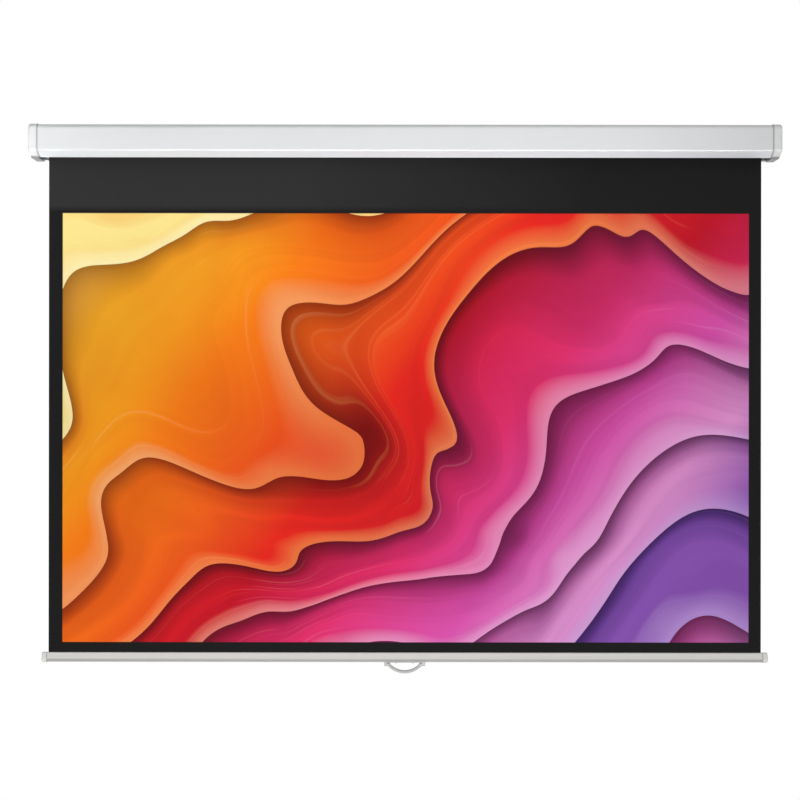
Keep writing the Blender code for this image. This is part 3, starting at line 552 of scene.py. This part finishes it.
@dataclass(frozen=True)
class ScreenFace:
    """The front of the cloth: black borders round a picture area of flowing ribbons, with painted
    light on the band above the picture.
    """

    name: str
    sheet: SheetCoordinates
    black: Colour = (0.008, 0.0078, 0.008)
    top_band_light: Colour = (0.030, 0.0285, 0.029)
    edge: float = 0.0008
    inks: Stops = (
        (0.00, (1.0, 0.80, 0.28)), (0.12, (1.0, 0.60, 0.02)), (0.26, (1.0, 0.22, 0.006)),
        (0.42, (0.86, 0.02, 0.012)), (0.58, (0.60, 0.006, 0.02)), (0.70, (0.80, 0.03, 0.16)),
        (0.82, (0.74, 0.09, 0.44)), (0.92, (0.82, 0.32, 0.68)), (1.00, (0.26, 0.09, 0.46)),
    )
    shadows: Stops = (
        (0.00, (0.86, 0.34, 0.02)), (0.26, (0.66, 0.055, 0.004)), (0.42, (0.38, 0.005, 0.006)),
        (0.58, (0.22, 0.003, 0.012)), (0.82, (0.27, 0.012, 0.12)), (1.00, (0.07, 0.02, 0.20)),
    )
    rims: Stops = (
        (0.00, (1.0, 0.93, 0.62)), (0.45, (1.0, 0.40, 0.10)), (0.80, (0.96, 0.55, 0.80)),
        (1.00, (0.72, 0.50, 0.90)),
    )
    large_bend: tuple[float, float, float] = (1.5, 1.5, 0.0)
    small_bend: tuple[float, float, float] = (0.35, 0.35, 0.35)
    ribbons_per_height: float = 3.3
    first_ribbon: float = 7.0
    folds_per_ribbon: float = 17.0

    def build(self) -> bpy.types.Material:
        """The material."""
        graph = Graph(self.name, self.black, 0.82)
        x, z = self.sheet.read(graph)
        normal, threads = weave(graph, x, z)
        cloud = graph.noise(graph.vector(x, z, 0.0), 1.7, 3.0)
        black = graph.tones(cloud * 0.7 + threads * 0.3, self.black, 0.6, 1.5)
        # Painted light: the black band above the picture is lighter at the left and fades to the
        # right.
        above = graph.span(z - self.sheet.picture_height, 0.004, 0.020)
        top_band_light_share = above * graph.span(x + cloud * 0.5, -0.05, 0.75, 0.85, 0.0)
        black = graph.mix(top_band_light_share, black, self.top_band_light)
        inside = self.inside(graph, x, z)
        picture = self.ribbons(graph, x, z)
        picture = graph.mix(threads * 0.10, picture, (0.0, 0.0, 0.0))
        graph.set("Base Color", graph.mix(inside, black, picture))
        graph.set("Roughness", 0.80 + (threads - 0.5) * 0.12 + cloud * 0.05)
        graph.set("Specular IOR Level", 0.12)
        graph.set("Sheen Weight", 0.03)
        graph.set("Sheen Roughness", 0.5)
        graph.set("Normal", normal)
        return graph.material

    def inside(self, graph: Graph, x: Value, z: Value) -> Value:
        """1 in the picture area and 0 in the borders, with a printed edge between."""
        half = self.sheet.picture_width / 2
        across = graph.span(half - graph.math("ABSOLUTE", x), -self.edge, self.edge)
        middle = self.sheet.picture_height / 2
        up = graph.span(middle - graph.math("ABSOLUTE", z - middle), -self.edge, self.edge)
        return across * up

    def ribbons(self, graph: Graph, x: Value, z: Value) -> bpy.types.NodeSocket:
        """Layered ribbons that sweep over the picture area, shaded towards each edge.

        Args:
            graph: the material's graph.
            x: metres from the picture's middle.
            z: metres from its foot.

        Returns:
            The colour socket.
        """
        height = self.sheet.picture_height
        right = x / height + self.sheet.picture_width / height / 2
        up = z / height
        flat = graph.vector(right, up, 0.0)
        bend = graph.vector_math("SUBTRACT", graph.noise(flat, 1.15, 1.0, "Color"), (0.5,) * 3)
        swept = graph.vector_math("ADD", flat, graph.vector_math("MULTIPLY", bend, self.large_bend))
        bend = graph.vector_math("SUBTRACT", graph.noise(swept, 2.7, 1.0, "Color"), (0.5,) * 3)
        small = graph.vector_math("MULTIPLY", bend, self.small_bend)
        swept = graph.vector_math("ADD", swept, small)
        a, b, _ = graph.axes(swept)
        phase = (a * 0.62 - b * 0.95) * self.ribbons_per_height + self.first_ribbon
        along = a * 0.95 + b * 0.62
        number = graph.math("FLOOR", phase)
        within = phase - number
        chance = Value(graph, graph.add("TexWhiteNoise", {"noise_dimensions": "1D"},
                                        {"W": number * 1.37}).outputs["Value"])
        pick = graph.span(right * 0.38 - up * 0.30 + chance * 0.58 + 0.02, 0.0, 1.0)
        base = graph.ramp(pick, self.inks, smooth=False)
        folds = graph.math("SINE", phase * self.folds_per_ribbon
                           + graph.noise(swept, 3.0, 2.0) * 9.0)
        streaks = graph.noise(graph.vector(phase * 16.0, along * 1.3, 2.0), 1.0, 3.0)
        shade = graph.span(within, 0.0, 0.55, 0.20, 1.0)
        shade = shade * (0.93 + folds * 0.07) * (0.87 + streaks * 0.34)
        deep = graph.ramp(pick, self.shadows, smooth=False)
        cast = graph.span(within, 0.0, 0.20, 0.42, 1.0)
        lit = graph.mix(shade, deep, base)
        lit = graph.mix(1.0, lit, graph.vector(cast, cast, cast), "MULTIPLY")
        rim = graph.span(within, 0.80, 0.97, 0.0, 0.42) + graph.span(streaks, 0.62, 0.8, 0.0, 0.2)
        glow = graph.ramp(pick, self.rims)
        return graph.mix(rim, lit, glow)


@dataclass(frozen=True)
class ScreenBack:
    """The opaque black backing of the cloth, and its cut edges."""

    name: str
    sheet: SheetCoordinates
    black: Colour = (0.021, 0.021, 0.022)

    def build(self) -> bpy.types.Material:
        """The material."""
        graph = Graph(self.name, self.black, 0.7)
        x, z = self.sheet.read(graph)
        normal, threads = weave(graph, x, z)
        cloud = graph.noise(graph.vector(x, z, 5.0), 2.4, 3.0)
        graph.set("Base Color", graph.tones(threads * 0.5 + cloud * 0.5, self.black, 0.7, 1.5))
        graph.set("Roughness", 0.66 + (threads - 0.5) * 0.2)
        graph.set("Specular IOR Level", 0.3)
        graph.set("Normal", normal)
        return graph.material


class Smoothing:
    """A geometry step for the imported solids: facets of curves are shaded as one surface."""

    def __init__(self, angle: float = 32.0, weld_distance: float = 0.000002) -> None:
        """Builds the node group.

        Args:
            angle: the widest bend, in degrees, that is still shaded smooth.
            weld_distance: how near two corners are that become one.
        """
        tree = bpy.data.node_groups.new("smooth_facets", "GeometryNodeTree")
        for way in ("INPUT", "OUTPUT"):
            tree.interface.new_socket("Geometry", in_out=way, socket_type="NodeSocketGeometry")
        start = tree.nodes.new("NodeGroupInput")
        weld = tree.nodes.new("GeometryNodeMergeByDistance")
        weld.inputs["Distance"].default_value = weld_distance
        plain = tree.nodes.new("GeometryNodeRemoveAttribute")
        plain.inputs["Name"].default_value = "custom_normal"
        faces = tree.nodes.new("GeometryNodeSetShadeSmooth")
        edges = tree.nodes.new("GeometryNodeSetShadeSmooth")
        edges.domain = "EDGE"
        edges.inputs["Shade Smooth"].default_value = False
        bend = tree.nodes.new("GeometryNodeInputMeshEdgeAngle")
        wide = tree.nodes.new("FunctionNodeCompare")
        wide.inputs["B"].default_value = math.radians(angle)
        tree.links.new(bend.outputs["Unsigned Angle"], wide.inputs["A"])
        tree.links.new(wide.outputs["Result"], edges.inputs["Selection"])
        end = tree.nodes.new("NodeGroupOutput")
        chain = (start, weld, plain, faces, edges, end)
        for left, right in zip(chain, chain[1:]):
            tree.links.new(left.outputs["Geometry"], right.inputs["Geometry"])
        self.tree = tree

    def on(self, piece: bpy.types.Object) -> bpy.types.Object:
        """Adds the step to a piece, and keeps its large flats flat."""
        step = piece.modifiers.new("smooth facets", "NODES")
        step.node_group = self.tree
        flats = piece.modifiers.new("true flats", "WEIGHTED_NORMAL")
        flats.keep_sharp = True
        return piece


@dataclass
class Dresser:
    """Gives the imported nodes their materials, and new pieces theirs."""

    finishes: dict[Slot, bpy.types.Material]
    smoothing: Smoothing

    def node(self, name: str, slot: Slot) -> bpy.types.Object:
        """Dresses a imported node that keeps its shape.

        Args:
            name: the node's name.
            slot: the finish it takes.

        Returns:
            The node's object.
        """
        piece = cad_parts[name]
        for place in piece.material_slots:
            place.material = self.finishes[slot]
        self.smoothing.on(piece)
        log.info("dressed %s", name)
        return piece

    def nodes(self, names: Iterable[str], slot: Slot) -> None:
        """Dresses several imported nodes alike."""
        for name in names:
            self.node(name, slot)

    def piece(self, piece: bpy.types.Object, slot: Slot, body: str,
              stands_for: Sequence[str] = ()) -> bpy.types.Object:
        """Puts a new piece on its body.

        Args:
            piece: the new piece.
            slot: the record's slot whose finish it takes.
            body: the body that carries it.
            stands_for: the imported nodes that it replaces.

        Returns:
            The piece.
        """
        if not piece.data.materials:
            piece.data.materials.append(self.finishes[slot])
        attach(piece, body)
        if stands_for:
            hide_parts(*stands_for)
        log.info("built %s on %s", piece.name, body)
        return piece


def mesh_object(name: str, shape: bmesh.types.BMesh) -> bpy.types.Object:
    """An object from a finished mesh, shaded smooth."""
    mesh = bpy.data.meshes.new(name)
    shape.to_mesh(mesh)
    shape.free()
    mesh.shade_smooth()
    mesh.set_sharp_from_angle(angle=math.radians(40.0))
    item = bpy.data.objects.new(name, mesh)
    bpy.context.scene.collection.objects.link(item)
    return item


@dataclass
class Cloth:
    """The projection cloth: wound on the tube, hanging, and hemmed in the bar."""

    dresser: Dresser
    sheet: SheetCoordinates
    thickness: float = 0.00045
    roller: Point2 = (-0.0405, 0.002)
    wrap_start: float = 0.0193
    wrap_pitch: float = 0.0006
    wraps: float = 1.5
    travel: float = 1.292
    top: float = 0.0017
    plane: float = -0.020075
    hem_centre: float = -1.3441
    hem_radius: float = 0.002225
    neck: float = 0.004
    hem_tuck: float = 0.999
    ripple: float = 0.0006
    edge_ripple: float = 0.6
    edge_power: int = 3
    hold_power: float = 0.8
    waves: tuple[tuple[float, float, float], ...] = ((7.3, 2.1, 0.35), (17.0, -3.0, 0.15))
    columns: int = 64
    hanging_rows: int = 48
    foot_rows: int = 8
    steps_per_turn: int = 72
    wound_height: float = 0.0002
    face: Optional[bpy.types.Material] = None
    back: Optional[bpy.types.Material] = None

    def build(self) -> None:
        """Makes the three lengths of the one cloth."""
        self.face = ScreenFace("screen_face", self.sheet).build()
        self.back = ScreenBack("screen_back", self.sheet).build()
        self.hanging()
        self.foot()
        self.roll()

    def ribbon(self, name: str, path: Sequence[Point2], ease: Callable[[float, float], float],
               rise: Sequence[float]) -> bpy.types.Object:
        """A length of cloth of even thickness along a path in the Y-Z plane.

        Args:
            name: the piece's name.
            path: the (y, z) points of its middle, with its front on the left-hand side.
            ease: how far a point moves towards the wall, from its x and z.
            rise: each point's height on the flat sheet, for its map.

        Returns:
            The object, its front in the first material and the rest in the second.
        """
        points = [Vector(p) for p in path]
        normals = []
        for i in range(len(points)):
            run = points[min(i + 1, len(points) - 1)] - points[max(i - 1, 0)]
            normals.append(Vector((run.y, -run.x)).normalized() * self.thickness / 2)
        shape = bmesh.new()
        grid = []
        for side in (1, -1):
            rows = []
            for i, point in enumerate(points):
                middle = point + normals[i] * side
                row = []
                for k in range(self.columns + 1):
                    x = self.sheet.width * (k / self.columns - 0.5)
                    row.append(shape.verts.new((x, middle.x + ease(x, point.y), middle.y)))
                rows.append(row)
            grid.append(rows)
        front, back = grid
        uv = shape.loops.layers.uv.new(self.sheet.map_name)
        last = len(points) - 1

        def face(corners: Sequence[bmesh.types.BMVert], spots: Sequence[Point2],
                 index: int) -> None:
            """One quad with its place on the map."""
            made = shape.faces.new(corners)
            made.material_index = index
            for loop, (k, i) in zip(made.loops, spots):
                loop[uv].uv = (k / self.columns, rise[i] / self.sheet.height)

        for i in range(last):
            for k in range(self.columns):
                spots = ((k, i), (k, i + 1), (k + 1, i + 1), (k + 1, i))
                face([front[b][a] for a, b in spots], spots, 0)
                face([back[b][a] for a, b in spots[::-1]], spots[::-1], 1)
            for k, turn in ((0, 1), (self.columns, -1)):
                rim = (back[i][k], back[i + 1][k], front[i + 1][k], front[i][k])
                face(rim[::turn], ((k, i), (k, i + 1), (k, i + 1), (k, i))[::turn], 1)
        for i, turn in ((0, 1), (last, -1)):
            for k in range(self.columns):
                rim = (back[i][k], front[i][k], front[i][k + 1], back[i][k + 1])
                face(rim[::turn], ((k, i), (k, i), (k + 1, i), (k + 1, i))[::turn], 1)
        item = mesh_object(name, shape)
        item.data.materials.append(self.face)
        item.data.materials.append(self.back)
        return item

    def slack(self, x: float, z: float) -> float:
        """The hanging cloth's soft waves: none at the roller, the bar or the middle."""
        share = min(max((self.top - z) / (self.top - self.hem_centre), 0.0), 1.0)
        hold = math.sin(math.pi * share) ** self.hold_power
        side = abs(2 * x / self.sheet.width) ** self.edge_power
        wave = sum(math.sin(a * x + b * z) * part for a, b, part in self.waves)
        return self.ripple * hold * (self.edge_ripple * side + wave)

    def hanging(self) -> bpy.types.Object:
        """The length that winds up; it hangs from the case."""
        rows = self.hanging_rows
        heights = [self.top - self.travel * i / rows for i in range(rows + 1)]
        foot = self.hem_centre + self.neck
        item = self.ribbon("screen_cloth", [(self.plane, z) for z in heights], self.slack,
                           [z - foot for z in heights])
        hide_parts("screen_fabric")
        self.dresser.piece(item, Slot.FABRIC, "case")
        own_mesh(item)
        return item

    def foot(self) -> bpy.types.Object:
        """The length that stays down: it rides on the bar, with its hem round the rod."""
        start = self.top - self.travel
        foot = self.hem_centre + self.neck
        straight = self.hem_centre + self.hem_radius
        rows = self.foot_rows
        path = [(self.plane, start + (straight - start) * i / rows) for i in range(rows)]
        loop = [math.radians(a) for a in range(90, 436, 15)]
        path += [
            (self.plane + self.hem_radius * math.cos(a) * self.hem_tuck,
             self.hem_centre + self.hem_radius * math.sin(a)) for a in loop
        ]
        run = [0.0]
        for a, b in zip(path, path[1:]):
            run.append(run[-1] + math.dist(a, b))
        item = self.ribbon("screen_foot", path, lambda x, z: self.slack(x, max(z, straight)),
                           [start - foot - r for r in run])
        self.dresser.piece(item, Slot.FABRIC, "pull_bar")
        return item

    def roll(self) -> bpy.types.Object:
        """The turns that stay on the tube."""
        steps = self.steps_per_turn
        count = round(self.wraps * steps)
        path, run = [], 0.0
        lengths = []
        for i in range(count, -1, -1):
            angle = 2 * math.pi * (count - i) / steps
            radius = self.wrap_start + self.wrap_pitch * i / steps + self.thickness / 2
            path.append((self.roller[0] + radius * math.cos(angle),
                         self.roller[1] + radius * math.sin(angle)))
            if len(path) > 1:
                run += math.dist(path[-1], path[-2])
            lengths.append(self.sheet.height + run)
        item = self.ribbon("screen_roll", path[::-1], lambda x, z: 0.0, lengths[::-1])
        self.dresser.piece(item, Slot.FABRIC, "roller", ["fabric_roll"])
        return item


@dataclass
class CaseAssembly:
    """The case: housing, end caps, brackets and the screws that clamp them."""

    dresser: Dresser

    def dress(self) -> None:
        """Gives every piece of the case its finish."""
        sides = ("right", "left")
        self.dresser.node("case_housing", Slot.CASE)
        self.dresser.nodes([f"{side}_end_cap" for side in sides], Slot.CAP)
        self.dresser.nodes([f"{side}_bracket" for side in sides], Slot.BRACKET)
        ports = ("top_front", "top_rear", "low_front")
        self.dresser.nodes([f"{s}_screw_{p}" for s in sides for p in ports], Slot.SCREW)


@dataclass
class RollerAssembly:
    """The roller: tube, plugs, pawls and the still pieces of its spring end."""

    dresser: Dresser

    def dress(self) -> None:
        """Gives every inner piece its finish."""
        self.dresser.node("roller_tube", Slot.TUBE)
        self.dresser.nodes(
            ("idle_bush", "idle_plug", "pawl_carrier", "spring_anchor", "spindle_guide"), Slot.PLUG
        )
        self.dresser.nodes(("spindle", "idle_pin", "pawl_pin_a", "pawl_pin_b"), Slot.SCREW)
        self.dresser.nodes(("ratchet_collar", "pawl_a", "pawl_b"), Slot.PAWL)
        self.dresser.node("torsion_spring", Slot.SPRING)


@dataclass
class PullAssembly:
    """The bottom bar with its caps, hem rod, saddle and pull handle."""

    dresser: Dresser

    def dress(self) -> None:
        """Gives every piece of the bar and handle its finish."""
        self.dresser.node("bottom_bar", Slot.BAR)
        self.dresser.nodes(("left_bar_cap", "right_bar_cap"), Slot.BAR_CAP)
        self.dresser.nodes(("hem_rod", "saddle_screw_left", "saddle_screw_right"), Slot.SCREW)
        self.dresser.nodes(("handle_saddle", "pull_handle"), Slot.HANDLE)


@dataclass(frozen=True)
class Lamp:
    """A large soft light; one for gloss only shows in reflections and nowhere else."""

    name: str
    place: tuple[float, float, float]
    aim: tuple[float, float, float]
    size: tuple[float, float]
    power: float
    spread: float = 180.0
    gloss_only: bool = False

    def build(self) -> None:
        """Hangs the lamp and turns it to what it lights."""
        data = bpy.data.lights.new(self.name, "AREA")
        data.shape = "RECTANGLE"
        data.size, data.size_y = self.size
        data.energy = self.power
        data.spread = math.radians(self.spread)
        item = bpy.data.objects.new(self.name, data)
        item.location = self.place
        item.visible_diffuse = not self.gloss_only
        way = Vector(self.aim) - Vector(self.place)
        item.rotation_euler = way.to_track_quat("-Z", "Y").to_euler()
        bpy.context.scene.collection.objects.link(item)


@dataclass(frozen=True)
class Studio:
    """Camera, soft light and a plain pale floor round the screen."""

    eye: tuple[float, float, float] = (-0.0130, -3.62, -0.6745)
    tilt: float = -0.0011
    lens: float = 61.43
    sensor: float = 36.0
    floor_height: float = -2.6
    floor_size: float = 9.0
    floor_colour: Colour = (0.86, 0.86, 0.86)
    pale_radius: float = 0.9
    white_radius: float = 2.7
    pale_share: float = 0.72
    level: float = 0.53
    fall: float = 0.10
    lamps: tuple["Lamp", ...] = ()

    def build(self) -> None:
        """Makes the whole studio."""
        scene = bpy.context.scene
        scene.view_settings.view_transform = "Standard"
        self.camera(scene)
        self.world(scene)
        self.floor()
        for lamp in self.lamps:
            lamp.build()

    def camera(self, scene: bpy.types.Scene) -> None:
        """The camera, level and square to the screen."""
        data = bpy.data.cameras.new("camera")
        data.lens = self.lens
        data.sensor_width = self.sensor
        item = bpy.data.objects.new("camera", data)
        item.location = self.eye
        item.rotation_euler = (math.pi / 2, self.tilt, 0)
        scene.collection.objects.link(item)
        scene.camera = item

    def world(self, scene: bpy.types.Scene) -> None:
        """White to the eye and in reflections; as a light it fades from below to above."""
        world = bpy.data.worlds.new("surround")
        world.use_nodes = True
        graph = Graph.of(world.node_tree)
        height = graph.axes(graph.add("TexCoord").outputs["Generated"])[2]
        soft = self.level - height * self.fall
        end = graph.tree.nodes["Background"]
        graph.plug(end, "Color", (1.0, 1.0, 1.0, 1.0))
        graph.plug(end, "Strength", soft + graph.shown() * (1.0 - soft))
        scene.world = world

    def floor(self) -> None:
        """The floor: pale under the screen, and white to the eye further out."""
        shape = bmesh.new()
        bmesh.ops.create_grid(shape, x_segments=2, y_segments=2, size=self.floor_size)
        mesh = bpy.data.meshes.new("floor")
        shape.to_mesh(mesh)
        shape.free()
        item = bpy.data.objects.new("floor", mesh)
        item.location.z = self.floor_height
        bpy.context.scene.collection.objects.link(item)
        graph = Graph("floor_pale", self.floor_colour, 0.9)
        x, y, _ = graph.axes(graph.place())
        away = graph.math("SQRT", x * x + y * y)
        white = graph.span(away, self.pale_radius, self.white_radius, self.pale_share, 1.0)
        glow = graph.add("Emission", inputs={"Color": (1.0, 1.0, 1.0, 1.0), "Strength": 1.0})
        both = graph.add("MixShader", inputs={
            0: graph.shown() * white, 1: graph.shader.outputs[0], 2: glow.outputs[0],
        })
        end = graph.tree.nodes["Material Output"]
        graph.tree.links.new(both.outputs[0], end.inputs["Surface"])
        mesh.materials.append(graph.material)


def finishes() -> dict[Slot, bpy.types.Material]:
    """Builds the finish of every slot but the fabric's, which the cloth makes itself."""
    joint = 0.9555
    made = (
        (Slot.CASE, Coating("case_coating", (0.755, 0.77, 0.785), 0.36, joint)),
        (Slot.CAP, Moulding("cap_moulding", (0.80, 0.805, 0.812), 0.42, joint=joint,
                            foot=(-0.0412, -0.0372))),
        (Slot.BRACKET, Plating("zinc_sheet", (0.60, 0.61, 0.62), 0.36, 260.0)),
        (Slot.SCREW, Plating("bright_zinc", (0.66, 0.66, 0.64), 0.27)),
        (Slot.TUBE, Plating("galvanised", (0.62, 0.63, 0.64), 0.34, 120.0, 500.0)),
        (Slot.PLUG, Moulding("black_nylon", (0.022, 0.022, 0.024), 0.46, 1100.0, 0.00004)),
        (Slot.SPRING, Plating("oiled_wire", (0.30, 0.31, 0.33), 0.30, stain=0.4)),
        (Slot.PAWL, Plating("yellow_zinc", (0.70, 0.60, 0.34), 0.33, 420.0)),
        (Slot.BAR, Anodised("bar_anodised", (0.73, 0.725, 0.695), 0.52)),
        (Slot.BAR_CAP, Moulding("bar_cap_moulding", (0.74, 0.73, 0.70), 0.45, joint=0.9417)),
        (Slot.HANDLE, Moulding("handle_moulding", (0.50, 0.495, 0.485), 0.36, coat=0.2, wear=0.3)),
    )
    return {slot: finish.build() for slot, finish in made}


def main() -> None:
    """Builds the studio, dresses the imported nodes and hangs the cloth."""
    logging.basicConfig(level=logging.INFO, format="%(message)s")
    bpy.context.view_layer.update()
    Studio(lamps=(
        Lamp("key", (-2.8, -3.1, -0.55), (-0.3, 0.0, -0.3), (1.8, 1.4), 8.0),
        Lamp("fill", (-0.2, -2.3, -2.35), (-0.2, 0.0, 0.0), (2.4, 1.0), 46.0),
        Lamp("beam", (-0.31, -2.2, -2.25), (-0.31, 0.0, 0.0), (2.18, 0.5), 1.6, 20.0),
        Lamp("left_end", (-1.25, -3.0, -1.2), (-1.15, 0.0, 0.0), (0.3, 0.5), 0.17, 14.0),
        Lamp("gleam_left", (-1.4, -2.35, -2.4), (-1.1, 0.0, 0.0), (0.8, 1.0), 0.9, 40.0, True),
        Lamp("gleam_right", (1.6, -2.35, -2.4), (1.2, 0.0, 0.0), (0.8, 1.0), 2.8, 40.0, True),
    )).build()
    dresser = Dresser(finishes(), Smoothing())
    CaseAssembly(dresser).dress()
    RollerAssembly(dresser).dress()
    PullAssembly(dresser).dress()
    Cloth(dresser, SheetCoordinates(1.878, 1.3418, 1.809, 1.1307, 0.0268, 0.002)).build()


if __name__ == "__main__":
    main()
